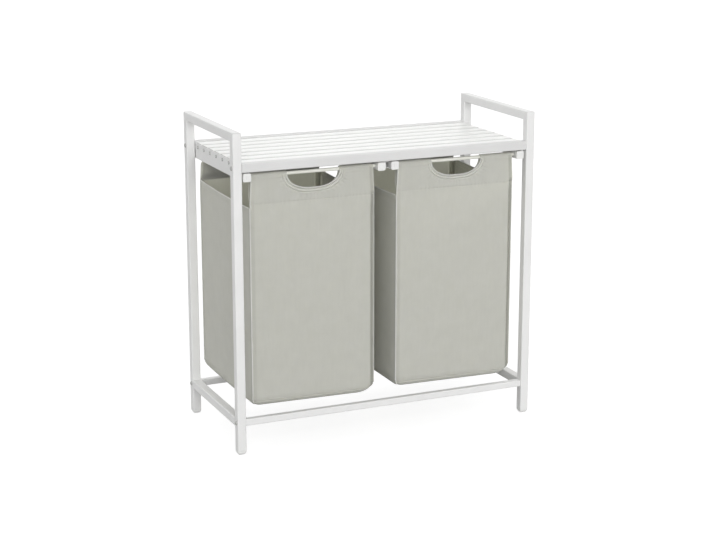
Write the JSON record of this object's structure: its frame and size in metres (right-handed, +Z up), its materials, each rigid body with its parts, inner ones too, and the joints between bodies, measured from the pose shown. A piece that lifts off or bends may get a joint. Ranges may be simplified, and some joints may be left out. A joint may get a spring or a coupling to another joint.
{
  "type": "laundry hamper with pull-out bins",
  "caption": "Laundry hamper: a white square-tube frame with a slatted shelf between its handles, over fabric bins that pull out to the front on slide rails.",
  "frame": {"origin": "on the floor, below the middle of the frame", "axes": "+X to the right along the width, -Y to the front where the bins pull out, +Z up"},
  "size_m": [0.735, 0.33, 0.72],
  "materials": {
    "white_steel": "white powder coat, satin",
    "white_wood": "white lacquer, satin",
    "white_plastic": "white moulded plastic",
    "white_rod": "white coated steel rod",
    "zinc_fastener": "zinc plated",
    "grey_cloth": "plain weave, light grey beige, stiffened"
  },
  "bodies": {
    "frame": {"post_front_left": "white_steel", "foot_front_left": "white_plastic", "bolt_low_front_left": "zinc_fastener", "bolt_high_front_left": "zinc_fastener", "post_back_left": "white_steel", "foot_back_left": "white_plastic", "bolt_low_back_left": "zinc_fastener", "bolt_high_back_left": "zinc_fastener", "post_front_right": "white_steel", "foot_front_right": "white_plastic", "bolt_low_front_right": "zinc_fastener", "bolt_high_front_right": "zinc_fastener", "post_back_right": "white_steel", "foot_back_right": "white_plastic", "bolt_low_back_right": "zinc_fastener", "bolt_high_back_right": "zinc_fastener", "handle_bar_left": "white_steel", "side_rail_left": "white_steel", "end_plate_left": "white_steel", "handle_bar_right": "white_steel", "side_rail_right": "white_steel", "end_plate_right": "white_steel", "crossbar_front": "white_steel", "shelf_rail_front": "white_steel", "crossbar_back": "white_steel", "shelf_rail_back": "white_steel", "slat_1": "white_wood", "slat_2": "white_wood", "slat_3": "white_wood", "slat_4": "white_wood", "slat_5": "white_wood", "slat_6": "white_wood", "slat_7": "white_wood", "slide_rail_left": "white_plastic", "rail_screw_left_front": "zinc_fastener", "rail_screw_left_back": "zinc_fastener", "slide_rail_centre": "white_plastic", "rail_screw_centre_front": "zinc_fastener", "rail_screw_centre_back": "zinc_fastener", "slide_rail_right": "white_plastic", "rail_screw_right_front": "zinc_fastener", "rail_screw_right_back": "zinc_fastener"},
    "left_bin": {"left_bin_bag": "grey_cloth", "left_bin_front_rod": "white_rod", "left_bin_back_rod": "white_rod", "left_bin_side_rod_left": "white_rod", "left_bin_glider_front_left": "white_plastic", "left_bin_glider_back_left": "white_plastic", "left_bin_side_rod_right": "white_rod", "left_bin_glider_front_right": "white_plastic", "left_bin_glider_back_right": "white_plastic"},
    "right_bin": {"right_bin_bag": "grey_cloth", "right_bin_front_rod": "white_rod", "right_bin_back_rod": "white_rod", "right_bin_side_rod_left": "white_rod", "right_bin_glider_front_left": "white_plastic", "right_bin_glider_back_left": "white_plastic", "right_bin_side_rod_right": "white_rod", "right_bin_glider_front_right": "white_plastic", "right_bin_glider_back_right": "white_plastic"}
  },
  "joints": [
    {"name": "left_bin_slide", "type": "slide", "parent": "frame", "child": "left_bin", "axis": [0, -1, 0], "range_m": [0, 0.242]},
    {"name": "right_bin_slide", "type": "slide", "parent": "frame", "child": "right_bin", "axis": [0, -1, 0], "range_m": [0, 0.242]}
  ]
}
